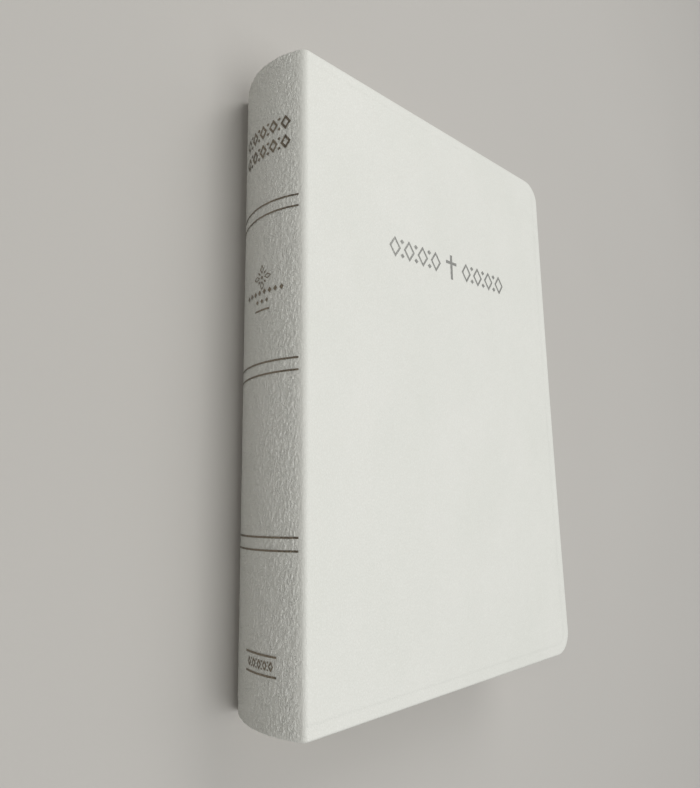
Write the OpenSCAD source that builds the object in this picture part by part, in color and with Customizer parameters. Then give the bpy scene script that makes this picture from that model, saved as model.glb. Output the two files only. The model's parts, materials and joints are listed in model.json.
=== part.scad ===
// Closed bible with flexible covers of imitation leather, lying on its back cover.
// X runs from the spine (-X) to the fore edge (+X), Y from the tail (-Y) to the head (+Y).
// Z runs from the outer face of the back cover (0) to the outer face of the front cover.
// The spine is a round arc about one line along Y. Every layer of the spine shares that line.
// The text block is glued from twenty sections. They stand in four blocks of five, and the
// glued spine flexes between the blocks.

/* [Covers] */
// Height of the covers, tail to head
cover_h = 213; // [180:1:240]
// Width of a cover, from the spine joint to the fore edge
cover_w = 139.5; // [115:0.5:160]
// Thickness of the closed book over both covers
book_t = 36; // [30:1:42]
// Radius of the round corners at the fore edge
corner_r = 9; // [5:1:14]
// Thickness of the covering skin
skin_t = 0.7; // [0.5:0.1:0.9]
// Thickness of the cover board
board_t = 1.3; // [1.1:0.1:1.6]
// Width of the skin folded in over the edges of the board
turn_in_w = 14; // [10:1:18]
// Thickness of the folded-in skin, which is pared thin
turn_in_t = 0.4; // [0.3:0.1:0.5]

/* [Spine] */
// How far the round spine stands out past the spine joint
spine_bulge = 5; // [3.5:0.5:6]
// Height below a cover's outer face at which the round of the spine would meet the joint
shoulder_drop = 1; // [0.5:0.1:1.5]
// Thickness of the card inlay behind the spine skin
inlay_t = 0.5; // [0.3:0.1:0.7]
// Thickness of the paper lining
lining_t = 0.3; // [0.2:0.1:0.4]
// Thickness of the open-weave cloth (mull)
mull_t = 0.3; // [0.2:0.1:0.4]
// Thickness of the glue on the spine edges of the sections
glue_t = 0.3; // [0.2:0.1:0.4]
// Radius of the rolled edge of a headband
headband_r = 0.9; // [0.6:0.1:1]

/* [Pages] */
// How far the covers stand out past the pages at the head, tail and fore edge
square_w = 3; // [2:0.5:5]
// Radius of the round corners of the pages
page_corner_r = 6; // [3:1:9]
// Thickness of a pastedown or a flyleaf
paper_t = 0.2; // [0.1:0.05:0.3]
// Width of the hinge cloth glued to the inside of a board
hinge_cloth_w = 24; // [15:1:30]
// Free space between leaves that lie on each other without glue
leaf_gap = 0.1; // [0.05:0.05:0.2]

/* [Foil] */
// Thickness of the stamped foil
foil_t = 0.05; // [0.03:0.01:0.08]
// Height of one foil rule on the spine
rule_h = 0.6; // [0.3:0.1:0.8]
// Distance between the two rules of a pair, middle to middle
rule_gap = 3.8; // [2.5:0.1:6]
// Width of the ornament on the front cover
ornament_w = 70; // [56:1:80]
// Height of the ornament on the front cover
ornament_h = 10; // [8:0.5:14]
// Width of the ornaments on the spine
spine_ornament_w = 25; // [20:1:25]
// Distance of the spine ornaments from the middle of the spine, towards the front cover
spine_ornament_shift = 2; // [0:0.5:2]

/* [Hidden] */
$fn = 96;

// Covers
cover_t = skin_t + board_t + paper_t;
joint_x = (spine_bulge + foil_t - cover_w) / 2;
fore_x = joint_x + cover_w;
joint_roll_r = cover_t / 2;
axis_x = joint_x + joint_roll_r;
board_x = joint_x + cover_t + 0.3;
cloth_t = 0.2;
pastedown_inset = 3;

// Spine arc
spine_z = book_t / 2;
half_chord = spine_z - cover_t;
foil_margin = 0.5;
arc_half = spine_z - shoulder_drop;
spine_r = (arc_half * arc_half + spine_bulge * spine_bulge) / (2 * spine_bulge);
spine_x = joint_x - spine_bulge + spine_r;
inlay_r = spine_r - skin_t;
hollow_r = inlay_r - inlay_t;
lining_r = hollow_r - turn_in_t;
mull_r = lining_r - lining_t;
glue_r = mull_r - mull_t;
block_r = glue_r - glue_t;

// Text block
sections = 20;
blocks = 4;
per_block = sections / blocks;
block_h = cover_h - 2 * square_w;
block_z = cover_t + paper_t + 2 * leaf_gap;
section_t = (book_t - 2 * block_z - (blocks - 1) * leaf_gap) / sections;
block_half_t = spine_z - block_z;
first_leaf_x = spine_x - sqrt(block_r * block_r - block_half_t * block_half_t);
page_w = fore_x - square_w - first_leaf_x;
flyleaf_x = first_leaf_x + 0.6;

// Height of the underside of a section, counted from the back cover
function section_z(k) = block_z + k * section_t + floor(k / per_block) * leaf_gap;
// How far the round of the spine moves a leaf at height z towards the spine
function round_shift(z) =
    sqrt(block_r * block_r - (z - spine_z) * (z - spine_z))
    - sqrt(block_r * block_r - block_half_t * block_half_t);
function section_name(k) = str("section_", k < 9 ? "0" : "", k + 1);

// Turns what is made for the back cover into its twin on the front cover
module to_front() {
    translate([0, 0, book_t]) mirror([0, 0, 1]) children();
}

// Flat outline from x0 to x1 with two round corners at the fore edge
module leaf_outline(x0, x1, h, r) {
    translate([x0, -h / 2]) square([x1 - r - x0, h]);
    translate([x0, r - h / 2]) square([x1 - x0, h - 2 * r]);
    for (side = [-1, 1])
        translate([x1 - r, side * (h / 2 - r)]) circle(r = r);
}

// Ring about the line of the spine, cut off to the part that faces away from the pages
module spine_layer(outer, thick, h, half_width) {
    rotate([90, 0, 0])
        linear_extrude(height = h, center = true)
            intersection() {
                translate([spine_x, spine_z]) difference() {
                    circle(r = outer);
                    circle(r = outer - thick);
                }
                translate([spine_x - outer - 1, spine_z - half_width])
                    square([outer, 2 * half_width]);
            }
}

// Covers
module cover_skin() {
    color("#e8e6de")
    difference() {
        union() {
            linear_extrude(height = skin_t + board_t)
                leaf_outline(axis_x, fore_x, cover_h, corner_r);
            translate([axis_x, 0, joint_roll_r])
                rotate([90, 0, 0])
                    cylinder(r = joint_roll_r, h = cover_h, center = true);
        }
        translate([0, 0, skin_t])
            linear_extrude(height = board_t - turn_in_t)
                leaf_outline(board_x, fore_x - skin_t, cover_h - 2 * skin_t, corner_r - skin_t);
        translate([0, 0, skin_t + board_t - turn_in_t - 0.01])
            linear_extrude(height = 1)
                turn_in_window();
    }
}

module turn_in_window() {
    translate([board_x, turn_in_w - cover_h / 2])
        square([fore_x - turn_in_w - board_x, cover_h - 2 * turn_in_w]);
}

module hinge_cloth(extra = 0) {
    color("#e4dfd2")
    translate([board_x, turn_in_w + 2 - cover_h / 2, skin_t + board_t - cloth_t])
        cube([hinge_cloth_w, cover_h - 2 * turn_in_w - 4, cloth_t + extra]);
}

module cover_board() {
    color("#a89878")
    difference() {
        union() {
            translate([0, 0, skin_t])
                linear_extrude(height = board_t - turn_in_t)
                    leaf_outline(board_x, fore_x - skin_t, cover_h - 2 * skin_t, corner_r - skin_t);
            translate([0, 0, skin_t])
                linear_extrude(height = board_t)
                    turn_in_window();
        }
        hinge_cloth(extra = 1);
    }
}

module pastedown() {
    color("#f3efe4")
    translate([0, 0, skin_t + board_t])
        linear_extrude(height = paper_t)
            leaf_outline(
                board_x, fore_x - pastedown_inset,
                cover_h - 2 * pastedown_inset, corner_r - pastedown_inset
            );
}

module flyleaf() {
    color("#f3efe4")
    translate([0, 0, cover_t + leaf_gap])
        linear_extrude(height = paper_t)
            leaf_outline(flyleaf_x, fore_x - square_w, block_h, page_corner_r);
}

// Spine
module spine_skin() {
    skin_half = half_chord - leaf_gap;
    color("#e8e6de") {
        difference() {
            spine_layer(spine_r, skin_t + inlay_t + turn_in_t, cover_h, skin_half);
            spine_layer(inlay_r, inlay_t, cover_h - 2 * skin_t, skin_half + 1);
            spine_layer(hollow_r + 0.01, turn_in_t + 1, cover_h - 2 * turn_in_w, skin_half + 1);
        }
    }
}

module spine_inlay() {
    color("#a89878")
        spine_layer(inlay_r, inlay_t, cover_h - 2 * skin_t, half_chord - 1);
}

module spine_lining() {
    color("#c9b48c")
        spine_layer(lining_r, lining_t, block_h - 2, block_half_t - 0.6);
}

module spine_mull() {
    color("#e4dfd2")
        spine_layer(mull_r, mull_t, block_h - 12, block_half_t - 0.3);
}

module spine_glue() {
    color("#e3d6ae")
        spine_layer(glue_r, glue_t, block_h, block_half_t);
}

module headband(side) {
    band_r = block_r - 0.3;
    reach = asin((block_half_t - 1) / band_r);
    color("#f4f2ea")
    translate([spine_x, side * (block_h / 2 + headband_r + 0.02), spine_z])
        rotate([90, 0, 0])
            rotate_extrude(angle = 2 * reach, start = 180 - reach)
                translate([band_r, 0]) circle(r = headband_r);
}

// Sections of the text block
module section_profile(k) {
    z0 = section_z(k);
    intersection() {
        translate([joint_x - spine_bulge, z0])
            square([cover_w + spine_bulge, section_t]);
        difference() {
            union() {
                translate([spine_x, spine_z]) circle(r = block_r);
                translate([spine_x, 0]) square([page_w, book_t]);
            }
            translate([spine_x + page_w, spine_z]) circle(r = block_r);
            translate([spine_x + page_w, 0]) square([cover_w, book_t]);
        }
    }
}

module section(k) {
    color(k % 2 == 0 ? "#f6f2e6" : "#f1ecde")
    intersection() {
        rotate([90, 0, 0])
            linear_extrude(height = block_h, center = true)
                section_profile(k);
        translate([0, 0, section_z(k) - 1])
            linear_extrude(height = section_t + 2)
                leaf_outline(
                    joint_x - spine_bulge,
                    fore_x - square_w - round_shift(section_z(k) + section_t / 2) + 0.7,
                    block_h + 0.02, page_corner_r
                );
    }
}

// Foil. Ornaments are drawn flat, with the head of the book towards +Y.
module foil_color() {
    color("#b6b7b6") children();
}

module lozenge(w, h) {
    polygon([[-w / 2, 0], [0, -h / 2], [w / 2, 0], [0, h / 2]]);
}

module on_spine() {
    intersection() {
        spine_layer(spine_r + foil_t, foil_t, cover_h, half_chord - foil_margin);
        translate([spine_x - 5, 0, spine_z + spine_ornament_shift])
            rotate([0, -90, 0])
                linear_extrude(height = spine_r)
                    children();
    }
}

// A lozenge with an open middle, drawn with a line of even width
module open_lozenge(w, h, line) {
    difference() {
        lozenge(w, h);
        lozenge(w - line * 2.6, h - line * 2.6 * h / w);
    }
}

// A row of open lozenges with a small solid one between each pair
module ornament_row(w, h, count, line) {
    pitch = w / count;
    for (i = [0:count - 1])
        translate([(i + 0.5) * pitch - w / 2, 0])
            open_lozenge(pitch * 0.78, h, line);
    for (i = [1:count - 1])
        translate([i * pitch - w / 2, 0])
            for (side = [-1, 1])
                translate([0, side * h * 0.34]) lozenge(pitch * 0.28, h * 0.24);
}

module front_foil_ornament() {
    bar = ornament_h * 0.12;
    row_w = ornament_w * 0.42;
    foil_color()
    translate([joint_x + cover_w * 0.515, cover_h * 0.223, book_t])
        linear_extrude(height = foil_t) {
            square([bar, ornament_h], center = true);
            translate([0, ornament_h * 0.18])
                square([ornament_h * 0.62, bar], center = true);
            for (side = [-1, 1])
                translate([side * (ornament_w - row_w) / 2, 0])
                    ornament_row(row_w, ornament_h * 0.8, 4, 0.7);
        }
}

module spine_rule_foil() {
    foil_color()
    for (quarter = [1:3])
        for (side = [-1, 1])
            translate([0, (quarter / 4 - 0.5) * cover_h - 1 + side * rule_gap / 2, 0])
                spine_layer(spine_r + foil_t, foil_t, rule_h, half_chord - foil_margin);
}

module spine_head_foil() {
    foil_color()
    on_spine() {
        for (row = [0, 1])
            translate([0, cover_h * 0.379 - row * 7])
                ornament_row(spine_ornament_w, 5.2, 5, 0.7);
    }
}

// A flower of four open petals, with small solid leaves between them
module flower(petal) {
    circle(r = petal * 0.16);
    for (turn = [0:90:270])
        rotate(turn) translate([petal * 0.85, 0]) open_lozenge(petal, petal * 0.6, 0.45);
    for (turn = [45:90:315])
        rotate(turn) translate([petal * 0.66, 0]) lozenge(petal * 0.5, petal * 0.24);
}

// A row of solid lozenges
module lozenge_row(pitch, count, w, h) {
    for (i = [0:count - 1])
        translate([(i - (count - 1) / 2) * pitch, 0]) lozenge(w, h);
}

module spine_emblem_foil() {
    foil_color()
    on_spine()
        translate([0, cover_h * 0.114]) {
            translate([0, 5]) flower(spine_ornament_w * 0.13);
            lozenge_row(spine_ornament_w * 0.1, 8, 1.6, 2);
            translate([0, -3]) lozenge_row(spine_ornament_w * 0.1, 3, 1.4, 1.6);
            translate([0, -6]) square([spine_ornament_w * 0.3, rule_h], center = true);
        }
}

module spine_foot_foil() {
    foil_color()
    on_spine()
        translate([0, -cover_h * 0.4135]) {
            ornament_row(spine_ornament_w * 0.52, 3, 5, 0.4);
            for (side = [-1, 1])
                translate([0, side * 2.7])
                    square([spine_ornament_w * 0.59, rule_h], center = true);
        }
}

to_front() cover_skin();  // front_cover_skin
to_front() cover_board();  // front_cover_board
to_front() hinge_cloth();  // front_hinge_cloth
to_front() pastedown();  // front_pastedown
to_front() flyleaf();  // front_flyleaf
front_foil_ornament();
cover_skin();  // back_cover_skin
cover_board();  // back_cover_board
hinge_cloth();  // back_hinge_cloth
pastedown();  // back_pastedown
flyleaf();  // back_flyleaf
spine_skin();
spine_inlay();
spine_lining();
spine_mull();
spine_glue();
headband(1);  // headband_head
headband(-1);  // headband_tail
spine_rule_foil();
spine_head_foil();
spine_emblem_foil();
spine_foot_foil();
for (k = [0:sections - 1])
    section(k);
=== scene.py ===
"""Looks of a closed bible with flexible white imitation-leather covers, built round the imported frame.

X runs from the spine to the fore edge, Y from the tail to the head, Z out of the front cover.
The leather is one surface over both covers and the spine, cut into strips where the book bends.
A place on it is (s, y): s is the length along the outside of the book, measured from the middle
of the spine, positive towards the front cover and negative towards the back cover.
"""

import functools
import json
import math
import random

import bmesh
import bpy
from mathutils import Matrix, Vector, noise


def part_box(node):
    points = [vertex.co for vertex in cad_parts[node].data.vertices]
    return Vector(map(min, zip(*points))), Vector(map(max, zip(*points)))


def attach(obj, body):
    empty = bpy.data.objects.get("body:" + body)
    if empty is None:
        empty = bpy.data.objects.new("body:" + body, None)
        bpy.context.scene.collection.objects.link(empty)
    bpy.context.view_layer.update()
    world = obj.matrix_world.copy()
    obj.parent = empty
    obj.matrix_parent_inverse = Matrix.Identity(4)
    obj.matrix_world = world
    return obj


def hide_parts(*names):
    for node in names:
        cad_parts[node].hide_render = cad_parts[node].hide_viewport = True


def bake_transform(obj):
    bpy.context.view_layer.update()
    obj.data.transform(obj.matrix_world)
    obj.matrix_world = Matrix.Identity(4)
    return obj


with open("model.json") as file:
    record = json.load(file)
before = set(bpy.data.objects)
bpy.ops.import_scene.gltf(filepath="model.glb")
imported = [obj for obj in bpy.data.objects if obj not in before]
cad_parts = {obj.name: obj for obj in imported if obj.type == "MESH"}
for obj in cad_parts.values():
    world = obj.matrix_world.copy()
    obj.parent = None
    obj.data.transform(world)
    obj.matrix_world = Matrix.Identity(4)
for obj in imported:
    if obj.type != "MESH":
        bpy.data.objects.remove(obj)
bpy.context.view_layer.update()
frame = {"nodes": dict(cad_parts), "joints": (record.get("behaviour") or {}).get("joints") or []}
MM = 0.001

# ---------------------------------------------------------------- sizes, from the frame

skin_low, skin_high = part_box("front_cover_skin")
spine_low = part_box("spine_skin")[0]
pastedown_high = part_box("front_pastedown")[1]

TOP = skin_high.z
MID_Z = TOP / 2
JOINT_X = skin_low.x  # spine edge of the covers
FORE_X = skin_high.x
HALF_H = skin_high.y
COVER_H = 2 * HALF_H
COVER_W = FORE_X - JOINT_X
SHOULDER_DROP = 1.0 * MM  # the round of the spine ends this far below the cover
BULGE = JOINT_X - spine_low.x  # how far the spine stands out past the covers
ARC_R = ((MID_Z - SHOULDER_DROP) ** 2 + BULGE**2) / (2 * BULGE)  # outside radius of the spine
ARC_X = spine_low.x + ARC_R
COVER_RHO = (TOP - pastedown_high.z) / 2  # radius of the turned edge of a cover
SPINE_RHO = 0.8 * MM  # and of the spine
CORNER_R = 9.0 * MM
CREASE_R = 2.8 * MM  # radius of the crease between spine and cover, half-way up the book
CREASE_GROWTH = 0.3 * MM  # what it gains at the head and loses at the tail
PAGE_CORNER_R = 6.0 * MM
SPINE_SWELL = 0.10  # share by which the spine bulges more at the head and less at the tail

JOINTS = {j["name"]: j for j in frame["joints"]}
BODIES = ["rear_block", "lower_middle_block", "upper_middle_block", "front_block"]
SIDES = {"front": ("front_block", "front_cover"), "back": ("rear_block", "back_cover")}
OPENINGS = [Vector(JOINTS["block_opening_" + n]["pos_m"]) for n in ("rear", "middle", "front")]
FOLD = 1.8 * MM  # half of the strip that bends where the block opens in the middle


@functools.lru_cache(maxsize=None)
def crease_at(y):
    """The crease on the row at y: its radius, the X and Z of its middle, the angle where the round
    of the spine runs into it, and the lengths s at which it starts and ends."""
    radius = CREASE_R + CREASE_GROWTH * y / HALF_H
    z = TOP - radius
    x = ARC_X - math.sqrt((ARC_R - radius) ** 2 - (z - MID_Z) ** 2)
    angle = math.asin((z - MID_Z) / (ARC_R - radius))
    start = ARC_R * angle
    return radius, x, z, angle, start, start + radius * (math.pi / 2 - angle)


_, CREASE_X, _, _, S_CREASE, S_FLAT = crease_at(0.0)
STRIP_DROP = 2.8 * MM  # the spine's leather meets the cover's this far below the top
S_STRIP = ARC_R * math.asin((TOP - STRIP_DROP - MID_Z) / ARC_R)
S_FOLD = ARC_R * math.asin(FOLD / ARC_R)


def outline(s, y):
    """Point (x, z) and outward normal (nx, nz) of the outside of the book at (s, y): the round
    spine, then the crease, then the flat cover."""
    radius, crease_x, crease_z, angle, start, flat = crease_at(y)
    side = 1 if s >= 0 else -1
    s = abs(s)
    if s <= start:
        a = s / ARC_R
        x, z = ARC_X - ARC_R * math.cos(a), ARC_R * math.sin(a)
        nx, nz = -math.cos(a), math.sin(a)
    elif s <= flat:
        a = angle + (s - start) / radius
        x = crease_x - radius * math.cos(a)
        z = crease_z - MID_Z + radius * math.sin(a)
        nx, nz = -math.cos(a), math.sin(a)
    else:
        x, z = crease_x + s - flat, MID_Z
        nx, nz = 0.0, 1.0
    return x, MID_Z + side * z, nx, side * nz


def swollen(x, y):
    """The spine bulges a little more at the head than at the tail."""
    return JOINT_X + (x - JOINT_X) * (1 + SPINE_SWELL * (y / HALF_H)) if x < JOINT_X else x


def smooth(a, b, t):
    """0 where t is below a, 1 where it is above b, and an even step between."""
    t = min(max((t - a) / (b - a), 0.0), 1.0)
    return t * t * (3 - 2 * t)


def spread_values(a, b, step):
    """Values from a to b at equal steps of about the given size."""
    n = max(2, round((b - a) / step))
    return [a + (b - a) * i / n for i in range(n + 1)]


# ---------------------------------------------------------------- materials


def node(tree, kind, inputs=None, **settings):
    n = tree.nodes.new("ShaderNode" + kind)
    for key, value in settings.items():
        setattr(n, key, value)
    for key, value in (inputs or {}).items():
        if isinstance(value, bpy.types.NodeSocket):
            tree.links.new(value, n.inputs[key])
        else:
            n.inputs[key].default_value = value
    return n


def new_material(name, **values):
    material = bpy.data.materials.new(name)
    material.use_nodes = True
    shader = material.node_tree.nodes["Principled BSDF"]
    for key, value in values.items():
        shader.inputs[key.replace("_", " ")].default_value = value
    return material, material.node_tree, shader


def scaled(tree, source, x, y, z=1.0):
    """Coordinates divided by x, y and z, so that a texture repeats about once over each."""
    scale = (1 / x, 1 / y, 1 / z)
    return node(tree, "Mapping", {"Vector": source, "Scale": scale}).outputs["Vector"]


def math_node(tree, operation, a, b=0.0, c=0.0):
    return node(tree, "Math", {0: a, 1: b, 2: c}, operation=operation).outputs["Value"]


def noise_node(tree, vector, detail=3.0, rough=0.55, distortion=0.0):
    inputs = {"Vector": vector, "Scale": 1.0, "Detail": detail, "Roughness": rough}
    inputs["Distortion"] = distortion
    return node(tree, "TexNoise", inputs).outputs["Fac"]


def map_range(tree, value, a, b, c, d, smooth_step=False):
    inputs = {"Value": value, "From Min": a, "From Max": b, "To Min": c, "To Max": d}
    kind = "SMOOTHSTEP" if smooth_step else "LINEAR"
    return node(tree, "MapRange", inputs, interpolation_type=kind).outputs["Result"]


def mix_colour(tree, factor, a, b):
    n = node(tree, "Mix", {0: factor}, data_type="RGBA")
    for index, value in ((6, a), (7, b)):
        if isinstance(value, bpy.types.NodeSocket):
            tree.links.new(value, n.inputs[index])
        else:
            n.inputs[index].default_value = (*value, 1.0)
    return n.outputs[2]


def bump(tree, shader, height, strength=1.0):
    """Bump from a height in millimetres."""
    n = node(tree, "Bump", {"Height": height, "Distance": MM, "Strength": strength})
    tree.links.new(n.outputs["Normal"], shader.inputs["Normal"])


def leather_material():
    """White leather with a pebbled grain. The mesh's grain attribute says how strong it is."""
    material, tree, shader = new_material("white_leather", Specular_IOR_Level=0.5)
    uv = node(tree, "UVMap").outputs["UV"]
    grain = node(tree, "Attribute", attribute_name="grain").outputs["Fac"]
    warp = node(tree, "TexNoise", {"Vector": scaled(tree, uv, 2.2 * MM, 3.4 * MM), "Scale": 1.0,
                                   "Detail": 2.0}).outputs["Color"]
    at = scaled(tree, uv, 0.62 * MM, 1.0 * MM)
    bent = node(tree, "VectorMath", {0: warp, 1: (0.9, 0.9, 0.0), 2: at},
                operation="MULTIPLY_ADD").outputs["Vector"]
    cells = node(tree, "TexVoronoi", {"Vector": bent, "Scale": 1.0}, feature="DISTANCE_TO_EDGE")
    pebble = map_range(tree, cells.outputs["Distance"], 0.0, 0.22, 0.0, 1.0, True)
    wrinkle = noise_node(tree, scaled(tree, uv, 0.5 * MM, 2.6 * MM), 3.0, 0.6, 0.4)
    micro = noise_node(tree, scaled(tree, uv, 0.13 * MM, 0.16 * MM), 2.0)
    swell = noise_node(tree, scaled(tree, uv, 5 * MM, 7 * MM), 2.0)
    depth = map_range(tree, grain, 0.0, 1.0, 0.014, 0.120)
    height = math_node(tree, "MULTIPLY", pebble, depth)
    height = math_node(tree, "MULTIPLY_ADD", wrinkle, map_range(tree, grain, 0, 1, 0.02, 0.38), height)
    height = math_node(tree, "MULTIPLY_ADD", micro, 0.006, height)
    height = math_node(tree, "MULTIPLY_ADD", swell, 0.05, height)
    bump(tree, shader, height)
    cloud = noise_node(tree, scaled(tree, uv, 30 * MM, 40 * MM), 3.0)
    colour = mix_colour(tree, map_range(tree, cloud, 0.3, 0.7, 0.0, 1.0), (0.760, 0.770, 0.725),
                        (0.790, 0.795, 0.755))
    # Painted shade: the leather's colour is darkened in the furrows between the pebbles.
    furrow = math_node(tree, "MULTIPLY", math_node(tree, "SUBTRACT", 1.0, pebble), 0.16)
    colour = mix_colour(tree, furrow, colour, (0.60, 0.60, 0.54))
    tree.links.new(colour, shader.inputs["Base Color"])
    rough = map_range(tree, pebble, 0.0, 1.0, 0.50, 0.38)
    rough = math_node(tree, "MULTIPLY_ADD", swell, 0.08, rough)
    tree.links.new(rough, shader.inputs["Roughness"])
    return material


def foil_material(name, dark, light):
    """Stamped metal foil, darker where it is worn."""
    material, tree, shader = new_material(name, Metallic=1.0)
    uv = node(tree, "UVMap").outputs["UV"]
    wear = noise_node(tree, scaled(tree, uv, 0.35 * MM, 0.5 * MM), 3.0, 0.6)
    patch = noise_node(tree, scaled(tree, uv, 3 * MM, 4 * MM), 2.0)
    colour = mix_colour(tree, map_range(tree, wear, 0.40, 0.72, 0.0, 1.0), dark, light)
    tree.links.new(colour, shader.inputs["Base Color"])
    tree.links.new(map_range(tree, patch, 0.3, 0.7, 0.28, 0.42), shader.inputs["Roughness"])
    bump(tree, shader, math_node(tree, "MULTIPLY", wear, 0.02))
    return material


def paper_material(name, dark, light, fibre_depth=0.02):
    """Smooth paper with fine fibres, in object coordinates."""
    material, tree, shader = new_material(name, Specular_IOR_Level=0.3)
    at = node(tree, "TexCoord").outputs["Object"]
    fibre = noise_node(tree, scaled(tree, at, 0.5 * MM, 0.9 * MM, 0.5 * MM), 5.0, 0.7, 0.6)
    cloud = noise_node(tree, scaled(tree, at, 12 * MM, 16 * MM, 12 * MM), 3.0)
    both = math_node(tree, "MULTIPLY_ADD", fibre, 0.5, math_node(tree, "MULTIPLY", cloud, 0.5))
    colour = mix_colour(tree, map_range(tree, both, 0.35, 0.65, 0.0, 1.0), dark, light)
    tree.links.new(colour, shader.inputs["Base Color"])
    tree.links.new(map_range(tree, fibre, 0.3, 0.7, 0.72, 0.86), shader.inputs["Roughness"])
    bump(tree, shader, math_node(tree, "MULTIPLY", fibre, fibre_depth))
    return material


def page_edge_material():
    """The cut edges of thin leaves: fine lines that run along the leaves."""
    material, tree, shader = new_material("page_edges", Specular_IOR_Level=0.25)
    at = node(tree, "TexCoord").outputs["Object"]
    leaf = noise_node(tree, scaled(tree, at, 60 * MM, 60 * MM, 0.075 * MM), 2.0, 0.7)
    group = noise_node(tree, scaled(tree, at, 90 * MM, 90 * MM, 0.5 * MM), 2.0, 0.6)
    cut = noise_node(tree, scaled(tree, at, 4 * MM, 4 * MM, 8 * MM), 3.0)
    lines = math_node(tree, "MULTIPLY_ADD", leaf, 0.6, math_node(tree, "MULTIPLY", group, 0.4))
    colour = mix_colour(tree, map_range(tree, lines, 0.36, 0.60, 0.0, 1.0), (0.60, 0.55, 0.45),
                        (0.86, 0.83, 0.75))
    colour = mix_colour(tree, map_range(tree, cut, 0.3, 0.8, 0.0, 0.12), colour, (0.70, 0.64, 0.52))
    tree.links.new(colour, shader.inputs["Base Color"])
    shader.inputs["Roughness"].default_value = 0.8
    height = math_node(tree, "MULTIPLY_ADD", leaf, 0.05, math_node(tree, "MULTIPLY", cut, 0.03))
    bump(tree, shader, height)
    return material


def print_material():
    """Thin bible paper with two columns of grey dashes in place of print."""
    material, tree, shader = new_material("printed_page", Specular_IOR_Level=0.3)
    at = node(tree, "UVMap").outputs["UV"]
    split = node(tree, "SeparateXYZ", {"Vector": at})
    u, v = split.outputs["X"], split.outputs["Y"]
    column_w, column_starts, half_column = 52 * MM, (8 * MM, 64 * MM), 90 * MM
    line_pitch, dash_w = 2.7 * MM, 1.9 * MM
    columns = 0.0
    for start in column_starts:
        inside = math_node(tree, "MULTIPLY", math_node(tree, "GREATER_THAN", u, start),
                           math_node(tree, "LESS_THAN", u, start + column_w))
        columns = math_node(tree, "ADD", inside, columns)
    block = math_node(tree, "LESS_THAN", math_node(tree, "ABSOLUTE", v), half_column)
    lines = math_node(tree, "DIVIDE", math_node(tree, "ADD", v, 1.0), line_pitch)
    line = math_node(tree, "FRACT", lines)
    row = math_node(tree, "FLOOR", lines)
    on_line = math_node(tree, "MULTIPLY", math_node(tree, "GREATER_THAN", line, 0.30),
                        math_node(tree, "LESS_THAN", line, 0.72))
    place = node(tree, "CombineXYZ", {"X": math_node(tree, "DIVIDE", u, dash_w), "Y": row})
    dash = noise_node(tree, place.outputs["Vector"], 1.0)
    dash = math_node(tree, "GREATER_THAN", dash, 0.44)
    ink = math_node(tree, "MULTIPLY", math_node(tree, "MULTIPLY", columns, block),
                    math_node(tree, "MULTIPLY", on_line, dash))
    fibre = noise_node(tree, scaled(tree, at, 0.5 * MM, 0.9 * MM), 5.0, 0.7, 0.6)
    paper = mix_colour(tree, fibre, (0.80, 0.77, 0.69), (0.88, 0.85, 0.78))
    colour = mix_colour(tree, math_node(tree, "MULTIPLY", ink, 0.62), paper, (0.10, 0.10, 0.11))
    tree.links.new(colour, shader.inputs["Base Color"])
    shader.inputs["Roughness"].default_value = 0.72
    bump(tree, shader, math_node(tree, "MULTIPLY", fibre, 0.015))
    return material


def weave_material(name, dark, light, pitch, depth):
    """Plain woven cloth with threads at one pitch, in object coordinates."""
    material, tree, shader = new_material(name, Specular_IOR_Level=0.2, Roughness=0.85)
    at = node(tree, "TexCoord").outputs["Object"]
    split = node(tree, "SeparateXYZ", {"Vector": at})
    turn = 2 * math.pi / pitch
    across = math_node(tree, "SINE", math_node(tree, "MULTIPLY", split.outputs["Y"], turn))
    along = math_node(tree, "ADD", split.outputs["X"], split.outputs["Z"])
    along = math_node(tree, "SINE", math_node(tree, "MULTIPLY", along, turn))
    weave = math_node(tree, "MULTIPLY_ADD", across, 0.25, math_node(tree, "MULTIPLY", along, 0.25))
    fuzz = noise_node(tree, scaled(tree, at, pitch / 2, pitch / 2, pitch / 2), 3.0)
    weave = math_node(tree, "ADD", weave, fuzz)
    colour = mix_colour(tree, map_range(tree, weave, 0.1, 0.9, 0.0, 1.0), dark, light)
    tree.links.new(colour, shader.inputs["Base Color"])
    bump(tree, shader, math_node(tree, "MULTIPLY", weave, depth))
    return material


def card_material(name, dark, light):
    """Pressed card: short fibres in every direction."""
    material, tree, shader = new_material(name, Specular_IOR_Level=0.2, Roughness=0.9)
    at = node(tree, "TexCoord").outputs["Object"]
    fibre = noise_node(tree, scaled(tree, at, 0.9 * MM, 1.3 * MM, 0.4 * MM), 6.0, 0.75, 1.2)
    colour = mix_colour(tree, map_range(tree, fibre, 0.3, 0.7, 0.0, 1.0), dark, light)
    tree.links.new(colour, shader.inputs["Base Color"])
    bump(tree, shader, math_node(tree, "MULTIPLY", fibre, 0.08))
    return material


def glue_material():
    """A skin of dried glue with brush streaks along the spine."""
    material, tree, shader = new_material("dried_glue", Specular_IOR_Level=0.5)
    at = node(tree, "TexCoord").outputs["Object"]
    streak = noise_node(tree, scaled(tree, at, 0.6 * MM, 9 * MM, 0.6 * MM), 4.0, 0.6)
    colour = mix_colour(tree, streak, (0.72, 0.64, 0.46), (0.88, 0.83, 0.68))
    tree.links.new(colour, shader.inputs["Base Color"])
    tree.links.new(map_range(tree, streak, 0.3, 0.7, 0.32, 0.5), shader.inputs["Roughness"])
    bump(tree, shader, math_node(tree, "MULTIPLY", streak, 0.12))
    return material


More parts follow.
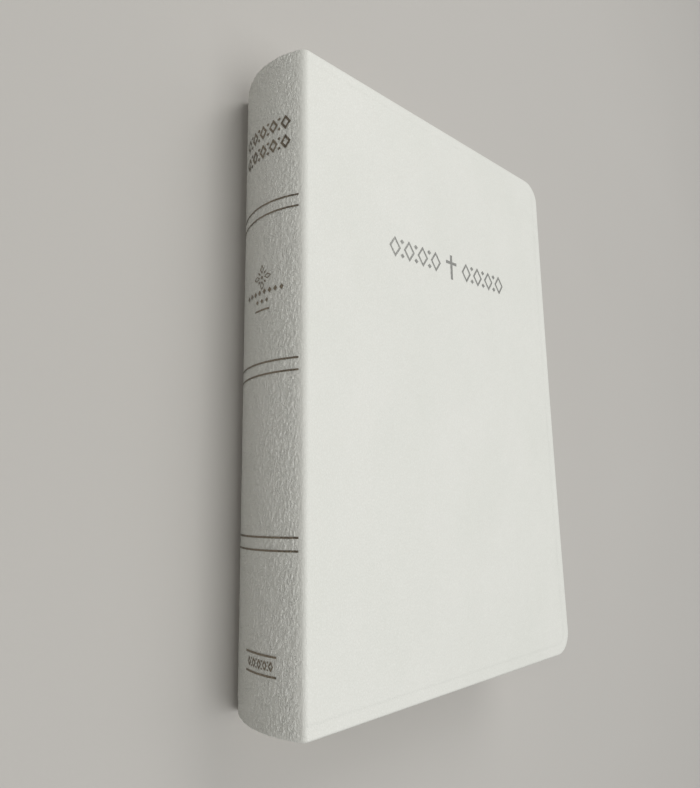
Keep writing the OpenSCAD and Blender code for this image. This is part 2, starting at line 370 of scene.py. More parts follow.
def headband_material():
    """Thread wound over a cord, in bands of two colours. The UV runs along and round the cord."""
    material, tree, shader = new_material("headband_thread", Specular_IOR_Level=0.35)
    uv = node(tree, "UVMap").outputs["UV"]
    split = node(tree, "SeparateXYZ", {"Vector": uv})
    both_bands = 2.4 * MM
    band = math_node(tree, "DIVIDE", split.outputs["X"], both_bands)
    band = math_node(tree, "GREATER_THAN", math_node(tree, "FRACT", band), 0.5)
    fibre = noise_node(tree, scaled(tree, uv, 0.06 * MM, 0.5 * MM), 3.0, 0.6)
    white = mix_colour(tree, fibre, (0.74, 0.72, 0.66), (0.88, 0.87, 0.83))
    grey = mix_colour(tree, fibre, (0.42, 0.42, 0.42), (0.58, 0.58, 0.57))
    tree.links.new(mix_colour(tree, band, white, grey), shader.inputs["Base Color"])
    tree.links.new(map_range(tree, fibre, 0.3, 0.7, 0.5, 0.7), shader.inputs["Roughness"])
    bump(tree, shader, math_node(tree, "MULTIPLY", fibre, 0.03))
    return material


LEATHER = leather_material()
FOIL = foil_material("silver_foil", (0.29, 0.29, 0.27), (0.50, 0.50, 0.475))
# The spine's foil is the silver foil made darker and browner: painted shade with a painted brownish
# reflection.
PAINTED_SHADE_FOIL = foil_material("foil_with_painted_shade", (0.18, 0.155, 0.12), (0.40, 0.35, 0.28))
PASTED = paper_material("endpaper", (0.84, 0.825, 0.775), (0.90, 0.885, 0.84))
LINING = paper_material("kraft_lining", (0.50, 0.39, 0.25), (0.62, 0.50, 0.34), 0.04)
PAGE = paper_material("page_paper", (0.82, 0.79, 0.71), (0.88, 0.855, 0.785))
EDGES = page_edge_material()
PRINT = print_material()
CARD = card_material("grey_card", (0.40, 0.34, 0.26), (0.56, 0.49, 0.39))
CLOTH = weave_material("hinge_cloth", (0.62, 0.60, 0.54), (0.82, 0.80, 0.74), 0.5 * MM, 0.08)
MULL = weave_material("mull_cloth", (0.50, 0.47, 0.40), (0.84, 0.82, 0.75), 1.1 * MM, 0.20)
GLUE = glue_material()
THREAD = headband_material()


# ---------------------------------------------------------------- pieces


def new_piece(name, verts, faces, materials, uvs=None, normals=None, share=None, index=None):
    """A mesh piece. uvs, normals and share, the strength of the grain, have one value a vertex;
    index has the material of each face."""
    mesh = bpy.data.meshes.new(name)
    mesh.from_pydata([tuple(v) for v in verts], [], faces)
    for material in materials if isinstance(materials, list) else [materials]:
        mesh.materials.append(material)
    if index:
        mesh.polygons.foreach_set("material_index", index)
    mesh.shade_smooth()
    if uvs:
        layer = mesh.uv_layers.new(name="UVMap")
        for loop in mesh.loops:
            layer.data[loop.index].uv = uvs[loop.vertex_index]
    if share:
        attribute = mesh.attributes.new("grain", "FLOAT", "POINT")
        attribute.data.foreach_set("value", share)
    mesh.update()
    if normals:
        mesh.normals_split_custom_set_from_vertices([tuple(n) for n in normals])
    piece = bpy.data.objects.new(name, mesh)
    bpy.context.scene.collection.objects.link(piece)
    return piece


def bend_block(piece):
    """Bakes the piece's transform into its mesh; it does not bend where the block opens (0 rear, 1
    middle, 2 front).
    """
    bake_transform(piece)


def bend_hinge(piece):
    """Bakes the piece's transform into its mesh; it does not bend from the block to the cover along the
    crease.
    """
    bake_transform(piece)


# ---------------------------------------------------------------- leather

GRAIN_DEPTH = 0.19 * MM
EDGE_BAND = 4.6 * MM  # width of the band pressed along the edges
EDGE_DROP = 0.13 * MM  # and its depth
WAVE_DEPTH = 0.05 * MM
FORE_BOW = 0.9 * MM  # how far the fore edge is drawn in, half-way up the book
EDGE_POWER = 0.72  # 1 is a half-round edge, and less is squarer
COVER_SHARE = 0.14  # strength of the grain on the covers, where the spine's is 1
COVER_TURN_IN, SPINE_TURN_IN = 6.5 * MM, 12 * MM


def grain_share(s):
    """1 on the spine, small on the covers, where the leather lies flat."""
    on_cover = smooth(S_CREASE - 3.2 * MM, S_CREASE + 1.2 * MM, abs(s))
    return COVER_SHARE + (1 - COVER_SHARE) * (1 - on_cover)


def grain_height(s, y):
    """Pebbles of the leather, long in Y, from 0 in a furrow to 1 on a pebble."""
    bend = noise.noise(Vector((s / (3 * MM), y / (5 * MM), 2.0)))
    at = Vector((s / (1.15 * MM) + 0.9 * bend, y / (2.5 * MM) + 0.7 * bend, 0.5))
    distance, _ = noise.voronoi(at)
    return smooth(0.0, 0.42, distance[1] - distance[0])


def fore_edge(y):
    """X of the fore edge of a cover, which is drawn in a little between its corners."""
    return FORE_X - FORE_BOW * (1 - (y / HALF_H) ** 2)


def leather_point(s, y, grain=1.0):
    """Where the leather lies at (s, y), with its swell, waves, edge band and a share of its grain."""
    x, z, nx, nz = outline(s, y)
    x = swollen(x, y)
    wave = noise.noise(Vector((s / (26 * MM), y / (34 * MM), 7.0)))
    edge = HALF_H - abs(y)
    if abs(s) > S_FLAT:
        fore = fore_edge(y)
        edge = min(edge, fore - x)
        in_corner = Vector((x - fore + CORNER_R, abs(y) - HALF_H + CORNER_R))
        if in_corner.x > 0 and in_corner.y > 0:
            edge = CORNER_R - in_corner.length
    drop = EDGE_DROP * (1 - smooth(0.84 * EDGE_BAND, 1.05 * EDGE_BAND, edge))
    depth = WAVE_DEPTH * (0.5 + 0.5 * wave) + drop
    depth += grain * GRAIN_DEPTH * grain_share(s) * (1 - grain_height(s, y))
    return Vector((x - nx * depth, y, z - nz * depth))


def leather_normal(s, y):
    """Normal over about one pebble of the grain, so that the mesh shades smoothly."""
    step = 0.22 * MM
    ds = leather_point(s + step, y) - leather_point(s - step, y)
    dy = leather_point(s, y + step) - leather_point(s, y - step)
    return ds.cross(dy).normalized()


def rho_at(s):
    """Radius of the turned edge of the skin: thin over the spine, thicker over the boards."""
    return SPINE_RHO + (COVER_RHO - SPINE_RHO) * smooth(S_CREASE, S_FLAT, abs(s))


def leather_rows():
    """Rows from tail to head as (y, angle round the corner, side)."""
    centre = HALF_H - CORNER_R
    r = CORNER_R - COVER_RHO
    steps = 18
    angles = [math.pi / 2 * i / steps for i in range(steps, 0, -1)]
    rows = [(-(centre + r * math.sin(a)), a, -1) for a in angles]
    rows += [(y, 0.0, 0) for y in spread_values(-centre, centre, 0.55 * MM)]
    rows += [(centre + r * math.sin(a), a, 1) for a in reversed(angles)]
    return rows


ROWS = leather_rows()


def fore_s(y, angle):
    """Length s at which the flat of a cover ends on a row, before the turned edge."""
    x = fore_edge(y) - CORNER_R + (CORNER_R - COVER_RHO) * math.cos(angle)
    _, crease_x, _, _, _, flat = crease_at(y)
    return flat + x - crease_x


def leather_strip(name, side, s_from, s_to, step, turn_in, fore=False):
    """One strip of the leather between two lengths. side is -1 on the back half of the book.
    With fore, it runs on over the whole cover. Its open edges are rolled over and turned in."""
    columns = [("s", v) for v in spread_values(s_from, s_to, step)]
    if fore:
        count = 112
        columns += [("flat", i / count) for i in range(1, count + 1)]
    verts, uvs, normals, share, at = [], [], [], [], []

    def add(point, uv, normal, grain):
        verts.append(point)
        uvs.append(uv)
        normals.append(normal)
        share.append(grain)
        return len(verts) - 1

    grid = []
    for y, angle, _ in ROWS:
        line = []
        for kind, value in columns:
            s = value if kind == "s" else s_to + (fore_s(y, angle) - s_to) * value
            rho = rho_at(s)
            v = y * (HALF_H - rho) / (HALF_H - COVER_RHO)
            s *= side
            line.append(add(leather_point(s, v), (s, v), leather_normal(s, v), grain_share(s)))
            at.append((s, v, rho))
        grid.append(line)
    faces = []
    for lower, upper in zip(grid, grid[1:]):
        for i in range(len(columns) - 1):
            faces.append((lower[i], lower[i + 1], upper[i + 1], upper[i]))

    def roll_edge(edge, outward):
        """Rolls the skin over an edge. outward is the flat direction out of each vertex."""
        before = edge
        steps = [(math.pi * i / 14, 0.0) for i in range(1, 15)]
        steps += [(math.pi, turn_in * i / 4) for i in range(1, 5)]
        for angle, deep in steps:
            ring = []
            for v, out in zip(edge, outward):
                s, y, rho = at[v]
                _, _, nx, nz = outline(s, y)
                n = Vector((nx, 0, nz))
                sine, cosine = math.sin(angle), math.cos(angle)
                p = verts[v] + out * (rho * max(sine, 0.0) ** EDGE_POWER - deep)
                p = p - n * rho * (1 - math.copysign(abs(cosine) ** EDGE_POWER, cosine))
                length = rho * angle + deep
                uv = (s + side * out.x * length, y + out.y * length)
                normal = out * max(sine, 0.0) ** (2 - EDGE_POWER)
                normal = normal + n * math.copysign(abs(cosine) ** (2 - EDGE_POWER), cosine)
                ring.append(add(p, uv, normal.normalized(), share[v]))
            for i in range(len(edge) - 1):
                faces.append((before[i], ring[i], ring[i + 1], before[i + 1]))
            before = ring

    tail, head = Vector((0, -1, 0)), Vector((0, 1, 0))
    if fore:
        loop = list(grid[0])
        outward = [tail] * len(loop)
        for row, line in list(zip(ROWS, grid))[1:-1]:
            loop.append(line[-1])
            outward.append(Vector((math.cos(row[1]), row[2] * math.sin(row[1]), 0)))
        loop += reversed(grid[-1])
        outward += [head] * len(columns)
        roll_edge(loop, outward)
    else:
        roll_edge(grid[0], [tail] * len(columns))
        roll_edge(list(reversed(grid[-1])), [head] * len(columns))
    if side < 0:
        faces = [tuple(reversed(f)) for f in faces]
    return new_piece(name, verts, faces, LEATHER, uvs, normals, share)


for side, front in ((1, True), (-1, False)):
    name = "front" if front else "back"
    piece = leather_strip(name + "_cover_leather", side, S_STRIP, S_FLAT + 4 * MM, 0.36 * MM,
                          COVER_TURN_IN, True)
    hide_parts(name + "_cover_skin")
    bend_hinge(piece)

for name, side, low, high, opening in (
    ("rear", -1, S_FOLD, S_STRIP, 0),
    ("middle", 1, -S_FOLD, S_FOLD, 1),
    ("front", 1, S_FOLD, S_STRIP, 2),
):
    piece = leather_strip("spine_leather_" + name, side, low, high, 0.40 * MM,
                          SPINE_TURN_IN)
    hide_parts("spine_skin")
    bend_block(piece)

# ---------------------------------------------------------------- foil


def quad_ring(outer, inner):
    """Faces between two outlines with the same number of corners."""
    n = len(outer)
    return [[outer[i], outer[(i + 1) % n], inner[(i + 1) % n], inner[i]] for i in range(n)]


def lozenge_corners(w, h):
    return [(-w / 2, 0.0), (0.0, -h / 2), (w / 2, 0.0), (0.0, h / 2)]


def lozenge(w, h):
    return [lozenge_corners(w, h)]


def open_lozenge(w, h, line):
    """A lozenge with an open middle, drawn with a line of even width."""
    return quad_ring(lozenge_corners(w, h), lozenge_corners(w - line * 2.6, h - line * 2.6 * h / w))


def rectangle(w, h):
    return [[(-w / 2, -h / 2), (w / 2, -h / 2), (w / 2, h / 2), (-w / 2, h / 2)]]


def disc(r):
    return [[(r * math.cos(a * math.pi / 8), r * math.sin(a * math.pi / 8)) for a in range(16)]]


def moved(shapes, x, y, turn=0.0):
    """Flat shapes turned by some degrees, and then moved."""
    c, s = math.cos(math.radians(turn)), math.sin(math.radians(turn))
    return [[(x + c * u - s * v, y + s * u + c * v) for u, v in face] for face in shapes]


def ornament_row(w, h, count, line):
    """A row of open lozenges with two small solid ones between each pair."""
    pitch = w / count
    shapes = []
    for i in range(count):
        shapes += moved(open_lozenge(pitch * 0.78, h, line), (i + 0.5) * pitch - w / 2, 0)
    for i in range(1, count):
        for side in (-1, 1):
            small = lozenge(pitch * 0.28, h * 0.24)
            shapes += moved(small, i * pitch - w / 2, side * h * 0.34)
    return shapes


def flower(petal):
    """Four open petals with small solid leaves between them."""
    shapes = disc(petal * 0.16)
    for turn in range(0, 360, 90):
        shapes += moved(moved(open_lozenge(petal, petal * 0.6, 0.45 * MM), petal * 0.85, 0), 0, 0, turn)
        shapes += moved(moved(lozenge(petal * 0.5, petal * 0.24), petal * 0.66, 0), 0, 0, turn + 45)
    return shapes


def lozenge_row(pitch, count, w, h):
    shapes = []
    for i in range(count):
        shapes += moved(lozenge(w, h), (i - (count - 1) / 2) * pitch, 0)
    return shapes


FRONT_W, FRONT_H = 70 * MM, 10 * MM  # size of the ornament on the front cover
SPINE_W = 25 * MM  # width of the ornaments on the spine
SPINE_SHIFT = 2 * MM  # they sit this far from its middle, towards the front cover
RULE_H = 0.6 * MM
RULE_GAP = 3.8 * MM  # between the two rules of a pair
RULE_END = 2.0 * MM  # distance of a rule's end below the top of the book
FOIL_LIFT = 0.07 * MM
FOIL_GRAIN = 0.3  # the foil bridges the furrows, and keeps this share of the grain


def front_ornament():
    """A plain cross between two rows of lozenges."""
    bar, row_w = FRONT_H * 0.12, FRONT_W * 0.42
    shapes = rectangle(bar, FRONT_H * 0.32 - bar / 2)
    shapes = moved(shapes, 0, FRONT_H * 0.34 + bar / 4)
    shapes += moved(rectangle(FRONT_H * 0.62, bar), 0, FRONT_H * 0.18)
    stem = FRONT_H * 0.68 - bar / 2
    shapes += moved(rectangle(bar, stem), 0, FRONT_H * 0.18 - bar / 2 - stem / 2)
    for side in (-1, 1):
        row = ornament_row(row_w, FRONT_H * 0.8, 4, 0.7 * MM)
        shapes += moved(row, side * (FRONT_W - row_w) / 2, 0)
    x = JOINT_X + COVER_W * 0.515
    return moved(shapes, S_FLAT + x - CREASE_X, COVER_H * 0.223)


def spine_ornaments():
    """Three pairs of rules, two rows at the head, an emblem and a row at the foot."""
    shapes = []
    rule_w = 2 * ARC_R * math.asin((MID_Z - RULE_END) / ARC_R)
    for quarter in (1, 2, 3):
        for side in (-1, 1):
            y = (quarter / 4 - 0.5) * COVER_H - 1 * MM + side * RULE_GAP / 2
            shapes += moved(rectangle(rule_w, RULE_H), 0, y)
    for row in (0, 1):
        y = COVER_H * 0.379 - row * 7 * MM
        shapes += moved(ornament_row(SPINE_W, 5.2 * MM, 5, 0.7 * MM), SPINE_SHIFT, y)
    emblem = moved(flower(SPINE_W * 0.13), 0, 5 * MM)
    emblem += lozenge_row(SPINE_W * 0.1, 8, 1.6 * MM, 2 * MM)
    emblem += moved(lozenge_row(SPINE_W * 0.1, 3, 1.4 * MM, 1.6 * MM), 0, -3 * MM)
    emblem += moved(rectangle(SPINE_W * 0.3, RULE_H), 0, -6 * MM)
    shapes += moved(emblem, SPINE_SHIFT, COVER_H * 0.114)
    foot = ornament_row(SPINE_W * 0.52, 3 * MM, 5, 0.4 * MM)
    for side in (-1, 1):
        foot += moved(rectangle(SPINE_W * 0.59, RULE_H), 0, side * 2.7 * MM)
    shapes += moved(foot, SPINE_SHIFT, -COVER_H * 0.4135)
    return shapes


def foil_piece(name, shapes, s_low, s_high, material):
    """Foil shapes laid on the leather, cut off at two lengths and cut fine enough to follow it."""
    bm = bmesh.new()
    for face in shapes:
        bm.faces.new([bm.verts.new((s, y, 0.0)) for s, y in face])
    for s, side in ((s_low, 1), (s_high, -1)):
        geometry = bm.verts[:] + bm.edges[:] + bm.faces[:]
        bmesh.ops.bisect_plane(bm, geom=geometry, plane_co=(s, 0, 0), plane_no=(-side, 0, 0),
                               clear_outer=True)
    ends = [v.co.x for v in bm.verts]
    sides = [v.co.y for v in bm.verts]
    cuts = [((v, 0, 0), (1, 0, 0)) for v in spread_values(min(ends), max(ends), 0.35 * MM)[1:-1]]
    cuts += [((0, v, 0), (0, 1, 0)) for v in spread_values(min(sides), max(sides), 0.45 * MM)[1:-1]]
    for place, normal in cuts:
        geometry = bm.verts[:] + bm.edges[:] + bm.faces[:]
        bmesh.ops.bisect_plane(bm, geom=geometry, plane_co=place, plane_no=normal)
    bmesh.ops.remove_doubles(bm, verts=bm.verts[:], dist=0.002 * MM)
    bm.normal_update()
    bm.verts.index_update()
    flat = [(v.co.x, v.co.y) for v in bm.verts]
    faces = []
    for face in bm.faces:
        corners = [v.index for v in face.verts]
        faces.append(corners if face.normal.z > 0 else corners[::-1])
    bm.free()
    normals = [leather_normal(s, y) for s, y in flat]
    verts = [leather_point(s, y, FOIL_GRAIN) + n * FOIL_LIFT for (s, y), n in zip(flat, normals)]
    return new_piece(name, verts, faces, material, flat, normals)


piece = foil_piece("front_foil", front_ornament(), 0.0, 1.0, FOIL)
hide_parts("front_foil_ornament")
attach(piece, "front_cover")

SPINE_FOIL = ["spine_rule_foil", "spine_head_foil", "spine_emblem_foil", "spine_foot_foil"]
for name, low, high, opening in (
    ("rear", -S_STRIP, -S_FOLD, 0),
    ("middle", -S_FOLD, S_FOLD, 1),
    ("front", S_FOLD, S_STRIP, 2),
):
    # The spine's foil uses the foil copy with painted shade.
    piece = foil_piece("spine_foil_" + name, spine_ornaments(), low, high, PAINTED_SHADE_FOIL)
    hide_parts(*SPINE_FOIL)
    bend_block(piece)

for name, low, high in (("back", -1.0, -S_STRIP), ("front", S_STRIP, 1.0)):
    # The rule ends use the foil copy with painted shade.
    piece = foil_piece(name + "_rule_ends", spine_ornaments(), low, high, PAINTED_SHADE_FOIL)
    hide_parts("spine_rule_foil")
    bend_hinge(piece)

# ---------------------------------------------------------------- spine layers and headbands


def outside_radius(node_name):
    """Outside radius of a layer of the spine, or of the pages."""
    return ARC_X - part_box(node_name)[0].x


BLOCK_R = outside_radius("section_10")
CUT_GAP = 0.06 * MM  # half of the gap between the two halves of a layer


def layer_half(name, material, r_out, r_in, z_low, z_high, half_y, ragged):
    """Half of one curved layer of the spine, between two heights. Its ends are a little ragged."""
    a0, a1 = (math.asin((z - MID_Z) / r_out) for z in (z_low, z_high))
    angles = spread_values(a0, a1, 0.8 * MM / r_out)
    profile = [(r_out, a) for a in angles] + [(r_in, a) for a in reversed(angles)]
    ys = spread_values(-half_y, half_y, 6 * MM)
    verts, faces = [], []
    for k, y in enumerate(ys):
        for r, a in profile:
            offset = 0.0
            if k in (0, len(ys) - 1):
                offset = ragged * noise.noise(Vector((a * r_out / (0.9 * MM), y * 40, k)))
            x = swollen(ARC_X - r * math.cos(a), y)
            verts.append((x, y + offset, MID_Z + r * math.sin(a)))
    n = len(profile)
    for k in range(len(ys) - 1):
        for i in range(n):
            j = (i + 1) % n
            faces.append((k * n + i, k * n + j, (k + 1) * n + j, (k + 1) * n + i))
    last = (len(ys) - 1) * n
    half = n // 2
    for i in range(half - 1):
        j = n - 1 - i
        faces.append((i, j, j - 1, i + 1))
        faces.append((last + i, last + i + 1, last + j - 1, last + j))
    piece = new_piece(name, verts, faces, material)
    piece.data.shade_flat()
    return piece


# Name of the node, slot, material and raggedness of its ends, from the outside in
LAYERS = [
    ("spine_inlay", "board", CARD, 0.0),
    ("spine_lining", "lining_paper", LINING, 0.25 * MM),
    ("spine_mull", "hinge_cloth", MULL, 0.9 * MM),
    ("spine_glue", "spine_glue", GLUE, 0.5 * MM),
]
radii = [outside_radius(name) for name, _, _, _ in LAYERS] + [BLOCK_R]
for (name, slot, material, ragged), r_out, r_in in zip(LAYERS, radii, radii[1:]):
    low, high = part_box(name)
    for part, z_low, z_high, opening in (
        ("rear", low.z, MID_Z - CUT_GAP, 0),
        ("front", MID_Z + CUT_GAP, high.z, 2),
    ):
        piece = layer_half(name + "_" + part, material, r_out, r_in, z_low, z_high, high.y, ragged)
        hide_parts(name)
        bend_block(piece)


def headband_half(name, y, radius, arc_radius, z_low, z_high):
    """A cord wound with thread, lying along the head or tail of the block."""
    a0, a1 = (math.asin((z - MID_Z) / arc_radius) for z in (z_low, z_high))
    thread = 0.42 * MM
    angles = spread_values(a0, a1, thread / 6 / arc_radius)
    around = 14
    verts, uvs, faces = [], [], []
    for a in angles:
        along = a * arc_radius
        bulge = abs(math.sin(math.pi * along / thread))
        end = min(a - a0, a1 - a) * arc_radius
        r = radius * (0.90 + 0.10 * bulge)
        if end < 0.5 * thread and (a - a0 < a1 - a) == (z_low < MID_Z * 0.5):
            r *= math.sqrt(max(0.1, 1 - (1 - end / (0.5 * thread)) ** 2))
        x = swollen(ARC_X - arc_radius * math.cos(a), y)
        centre = Vector((x, y, MID_Z + arc_radius * math.sin(a)))
        out = Vector((-math.cos(a), 0, math.sin(a)))
        for k in range(around):
            t = 2 * math.pi * k / around
            verts.append(centre + out * r * math.cos(t) + Vector((0, r * math.sin(t), 0)))
            uvs.append((along, radius * t))
    for i in range(len(angles) - 1):
        for k in range(around):
            j = (k + 1) % around
            faces.append((i * around + k, (i + 1) * around + k, (i + 1) * around + j, i * around + j))
    faces.append(tuple(range(around)))
    faces.append(tuple(reversed(range(len(verts) - around, len(verts)))))
    return new_piece(name, verts, faces, THREAD, uvs)


for end in ("head", "tail"):
    low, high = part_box("headband_" + end)
    radius = (high.y - low.y) / 2
    arc = ARC_X - low.x - radius
    for part, z_low, z_high, opening in (
        ("rear", low.z, MID_Z - CUT_GAP, 0),
        ("front", MID_Z + CUT_GAP, high.z, 2),
    ):
        piece = headband_half("headband_%s_%s" % (end, part), (low.y + high.y) / 2, radius, arc,
                              z_low, z_high)
        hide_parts("headband_" + end)
        bend_block(piece)

# ---------------------------------------------------------------- pages

middle_low, middle_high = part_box("section_10")
PAGE_HALF_H = middle_high.y
far = max(abs(middle_low.z - MID_Z), abs(middle_high.z - MID_Z))
PAGE_W = middle_high.x - ARC_X + math.sqrt(BLOCK_R**2 - far**2)


def block_edges(z):
    """X of the spine edge and the fore edge of the pages at a height."""
    reach = math.sqrt(BLOCK_R**2 - (z - MID_Z) ** 2)
    return ARC_X - reach, ARC_X + PAGE_W - reach


def leaf_outline(z, inset, seed, jitter):
    """Corners of a leaf at a height, anticlockwise from the tail of the spine edge. It is inset,
    and pulled in by up to the jitter, at its free edges."""
    x0, x1 = block_edges(z)
    x1 -= inset
    h = PAGE_HALF_H - inset
    r = PAGE_CORNER_R
    points = [(x, -h) for x in spread_values(x0, x1 - r, 12 * MM)[:-1]]
    for k in range(9):
        a = math.pi / 2 * k / 8
        points.append((x1 - r + r * math.sin(a), -h + r - r * math.cos(a)))
    points += [(x1, y) for y in spread_values(-h + r, h - r, 12 * MM)[1:-1]]
    for k in range(9):
        a = math.pi / 2 * k / 8
        points.append((x1 - r + r * math.cos(a), h - r + r * math.sin(a)))
    points += [(x, h) for x in reversed(spread_values(x0, x1 - r, 12 * MM)[:-1])]
    pulled = []
    for x, y in points:
        pull = jitter * (0.5 + 0.5 * noise.noise(Vector((x * 14, y * 14, seed))))
        dx = pull if x > x1 - r else 0.0
        dy = pull if abs(y) > h - r else 0.0
        pulled.append((x - dx, y - math.copysign(dy, y)))
    return pulled


def section_piece(number, body):
    """A folded section, as ten bundles of leaves whose edges don't quite line up."""
    low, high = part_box("section_%02d" % number)
    rng = random.Random(400 + number)
    bundles = 10
    verts, faces, index = [], [], []
    before = None
    for k in range(bundles):
        z0 = low.z + (high.z - low.z) * k / bundles
        z1 = low.z + (high.z - low.z) * (k + 1) / bundles
        inset = 0.02 * MM + 0.09 * MM * rng.random()
        seed = rng.random() * 50
        for z in (z0, z1):
            ring = leaf_outline(z, inset, seed, 0.06 * MM)
            start = len(verts)
            verts += [(swollen(x, y), y, z) for x, y in ring]
            n = len(ring)
            if before is None:
                faces.append(tuple(range(start + n - 1, start - 1, -1)))
                index.append(1)
            else:
                for i in range(n):
                    j = (i + 1) % n
                    faces.append((before + i, before + j, start + j, start + i))
                    index.append(0)
            before = start
    faces.append(tuple(range(before, before + n)))
    index.append(1)
    piece = new_piece("section_%02d_leaves" % number, verts, faces, [EDGES, PAGE], index=index)
    piece.data.shade_flat()
    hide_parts("section_%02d" % number)
    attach(piece, body)


SECTIONS = sum(node_name.startswith("section_") for node_name in frame["nodes"])
for number in range(1, SECTIONS + 1):
    section_piece(number, BODIES[(number - 1) * len(BODIES) // SECTIONS])


def sheet_faces(rows, columns):
    """Faces of a grid of vertices."""
    faces = []
    for i in range(rows - 1):
        for j in range(columns - 1):
            a, b = i * columns + j, i * columns + j + 1
            faces.append((a, b, b + columns, a + columns))
    return faces


def spread_piece(opening, name):
    """The two facing leaves where the block opens, joined at the fold. Rows run along Y."""
    joint = OPENINGS[opening]
    gap = 0.03 * MM
    spine_x, fore_x = block_edges(joint.z)
    fold_x = joint.x + 0.4 * MM if opening == 1 else spine_x + 0.05 * MM
    fore_x -= 0.25 * MM
    h, r = PAGE_HALF_H - 0.2 * MM, PAGE_CORNER_R
    xs = [fore_x - r * (1 - math.cos(math.pi / 2 * k / 8)) for k in range(9)]
    xs += spread_values(fold_x, fore_x - r, 6 * MM)[::-1][1:]
    path = [(x, -gap) for x in xs]
    path += [(fold_x, gap * 0.15 * k) for k in range(-4, 5)]
    path += [(x, gap) for x in reversed(xs)]
    steps = 24
    verts, uvs = [], []
    for x, dz in path:
        deep = max(0.0, x - (fore_x - r))
        half = h - r + math.sqrt(max(r * r - deep * deep, 0.0))
        for k in range(steps + 1):
            y = half * (2 * k / steps - 1)
            verts.append((x + swollen(joint.x, y) - joint.x if x == fold_x else x, y, joint.z + dz))
            uvs.append((x - fold_x, y))
    faces = sheet_faces(len(path), steps + 1)
    piece = new_piece("spread_" + name, verts, faces, PRINT, uvs)
    piece.data.shade_flat()
    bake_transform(piece)


for opening, name in enumerate(("rear", "middle", "front")):
    spread_piece(opening, name)

# ---------------------------------------------------------------- endpapers and boards

TURN_IN = 14 * MM  # width of the leather turned in under the pastedown
PAPER_INSET = 0.03 * MM


def rounded_half(x, x_end, h, r):
    """Half of the height of a sheet at x, with rounded corners at x_end."""
    deep = max(0.0, x - (x_end - r))
    return h - r + math.sqrt(max(r * r - deep * deep, 0.0))


def paper_sheet(name, x_from, x_to, h, r, z_low, z_high, step, relief=None):
    """A closed thin sheet with rounded fore corners, in columns along X and rows along Y."""
    xs = spread_values(x_from, x_to - r, step)
    xs += [x_to - r + r * math.sin(math.pi / 2 * k / 10) for k in range(1, 11)]
    rows = 44
    verts = []
    for z in (z_low, z_high):
        for x in xs:
            half = rounded_half(x, x_to, h, r)
            for k in range(rows + 1):
                y = half * (2 * k / rows - 1)
                lift = relief(x, y) if relief else 0.0
                verts.append((x, y, z + lift))
    n, m = len(xs), rows + 1
    total = n * m
    faces = sheet_faces(n, m)[::-1]
    upper = [tuple(v + total for v in f[::-1]) for f in faces]
    border = [i * m for i in range(n)] + [(n - 1) * m + k for k in range(1, m)]
    border += [i * m + m - 1 for i in range(n - 2, -1, -1)] + [k for k in range(m - 2, 0, -1)]
    rim = []
    for a, b in zip(border, border[1:] + border[:1]):
        rim.append((a, b, b + total, a + total))
    return new_piece(name, verts, faces + upper + rim, PASTED)


def turn_in_ridge(front):
    """The edge of the turned-in leather shows faintly through the pasted paper."""
    sign = -1 if front else 1

    def relief(x, y):
        edge = min(FORE_X - x, HALF_H - abs(y))
        wave = 0.02 * MM * noise.noise(Vector((x * 60, y * 60, 3.0 if front else 9.0)))
        return sign * (0.04 * MM * (1 - smooth(TURN_IN - 0.8 * MM, TURN_IN + 0.8 * MM, edge)) + wave)

    return relief


for name, (block, cover) in SIDES.items():
    front = name == "front"
    low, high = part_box(name + "_pastedown")
    piece = paper_sheet(name + "_pastedown_sheet", low.x, high.x, high.y, CORNER_R - 3 * MM,
                        low.z + PAPER_INSET, high.z - PAPER_INSET, 2 * MM, turn_in_ridge(front))
    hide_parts(name + "_pastedown")
    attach(piece, cover)

    leaf_low, leaf_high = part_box(name + "_flyleaf")
    piece = paper_sheet(name + "_flyleaf_sheet", leaf_low.x, leaf_high.x, leaf_high.y, PAGE_CORNER_R,
                        leaf_low.z + PAPER_INSET, leaf_high.z - PAPER_INSET, 1.5 * MM)
    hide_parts(name + "_flyleaf")
    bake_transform(piece)

    side = 1 if front else -1
    from_z = leaf_high.z if front else leaf_low.z
    to_z = low.z if front else high.z
    begin = Vector((leaf_low.x, 0, from_z - side * 0.05 * MM))
    finish_at = Vector((low.x, 0, to_z + side * 0.05 * MM))
    verts = []
    rows, steps = 40, 16
    for i in range(steps + 1):
        p = begin.lerp(finish_at, i / steps)
        for k in range(rows + 1):
            verts.append((p.x, leaf_high.y * (2 * k / rows - 1), p.z))
    piece = new_piece(name + "_endpaper_hinge", verts,
                      sheet_faces(steps + 1, rows + 1), PASTED)
    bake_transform(piece)

for kind, material in (("cover_board", CARD), ("hinge_cloth", CLOTH)):
    for side_name in SIDES:
        materials = frame["nodes"]["%s_%s" % (side_name, kind)].data.materials
        materials.clear()
        materials.append(material)

# ---------------------------------------------------------------- camera, light and floor

LENS, SENSOR, SHIFT = 27.05, 36.0, -0.0095
HEADING, PITCH, ROLL = (math.radians(angle) for angle in (15.05, -47.29, -77.88))
DISTANCE = 0.19
AIM = Vector((JOINT_X + 0.152 * COVER_W, -0.0397 * COVER_H, TOP))  # a place on the front cover

camera_data = bpy.data.cameras.new("camera")
camera_data.lens = LENS
camera_data.sensor_width = SENSOR
camera_data.shift_x = SHIFT
camera_data.clip_start = 0.01
camera = bpy.data.objects.new("camera", camera_data)
bpy.context.scene.collection.objects.link(camera)
forward = Vector((math.cos(PITCH) * math.cos(HEADING), math.cos(PITCH) * math.sin(HEADING),
                  math.sin(PITCH)))
level = forward.cross(Vector((0, 0, 1))).normalized()
up = level.cross(forward) * math.cos(ROLL) + level * math.sin(ROLL)
right = forward.cross(up)
place = AIM - forward * DISTANCE
camera.matrix_world = Matrix((
    (right.x, up.x, -forward.x, place.x),
    (right.y, up.y, -forward.y, place.y),
    (right.z, up.z, -forward.z, place.z),
    (0, 0, 0, 1),
))
bpy.context.scene.camera = camera


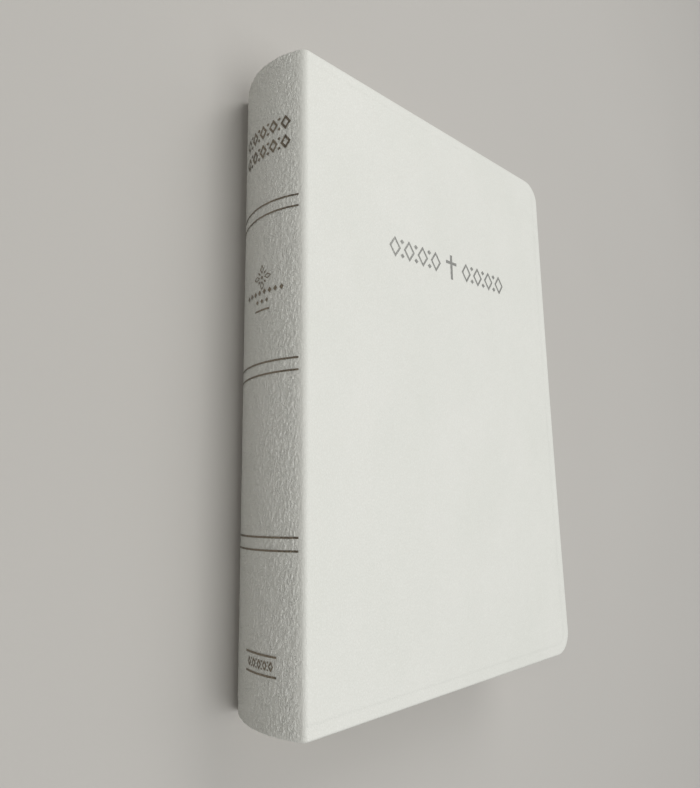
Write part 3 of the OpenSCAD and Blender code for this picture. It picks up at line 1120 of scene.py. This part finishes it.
def area_light(name, place, target, size, watts, colour=(1.0, 1.0, 1.0)):
    """A square soft light at a place, turned to a target."""
    data = bpy.data.lights.new(name, "AREA")
    data.shape = "RECTANGLE"
    data.size, data.size_y = size, size
    data.energy = watts
    data.color = colour
    lamp = bpy.data.objects.new(name, data)
    lamp.location = place
    lamp.rotation_euler = (Vector(target) - Vector(place)).to_track_quat("-Z", "Y").to_euler()
    bpy.context.scene.collection.objects.link(lamp)


MIDDLE, SPINE = (0, 0, 0.02), (-0.06, 0, 0.02)
area_light("key", (0.30, 0.80, 0.80), MIDDLE, 0.6, 3.9, (1.0, 0.985, 0.955))
area_light("overhead", (0.0, -0.35, 1.05), MIDDLE, 0.8, 6.9, (1.0, 1.0, 0.985))
area_light("reflector", (0.80, 0.25, 0.95), MIDDLE, 1.3, 3.4)
area_light("side", (-0.75, 0.15, 0.62), SPINE, 0.25, 1.15, (1.0, 0.95, 0.88))

world = bpy.data.worlds.new("soft_sky")
world.use_nodes = True
background = world.node_tree.nodes["Background"]
background.inputs["Color"].default_value = (0.95, 0.97, 1.0, 1.0)
seen = node(world.node_tree, "LightPath").outputs["Is Camera Ray"]
SKY_LIGHT, SKY_SEEN = 0.11, 0.55
strength = map_range(world.node_tree, seen, 0.0, 1.0, SKY_LIGHT, SKY_SEEN)
world.node_tree.links.new(strength, background.inputs["Strength"])
bpy.context.scene.world = world
bpy.context.scene.view_settings.view_transform = "Standard"


HALF_FLOOR = 3.0


def floor_piece():
    """A plain pale floor that the book lies on."""
    mesh = bpy.data.meshes.new("floor")
    bm = bmesh.new()
    bmesh.ops.create_grid(bm, x_segments=8, y_segments=8, size=HALF_FLOOR)
    bm.to_mesh(mesh)
    bm.free()
    material, tree, shader = new_material("floor_paint", Specular_IOR_Level=0.3)
    at = node(tree, "TexCoord").outputs["Object"]
    grain = noise_node(tree, scaled(tree, at, 1.2 * MM, 1.2 * MM), 4.0)
    cloud = noise_node(tree, scaled(tree, at, 0.3, 0.3), 3.0)
    colour = mix_colour(tree, cloud, (0.50, 0.485, 0.46), (0.54, 0.525, 0.50))
    tree.links.new(colour, shader.inputs["Base Color"])
    tree.links.new(map_range(tree, grain, 0.3, 0.7, 0.55, 0.65), shader.inputs["Roughness"])
    bump(tree, shader, math_node(tree, "MULTIPLY", grain, 0.02))
    mesh.materials.append(material)
    floor = bpy.data.objects.new("floor", mesh)
    floor.location = (0, 0, -0.02 * MM)
    bpy.context.scene.collection.objects.link(floor)


floor_piece()
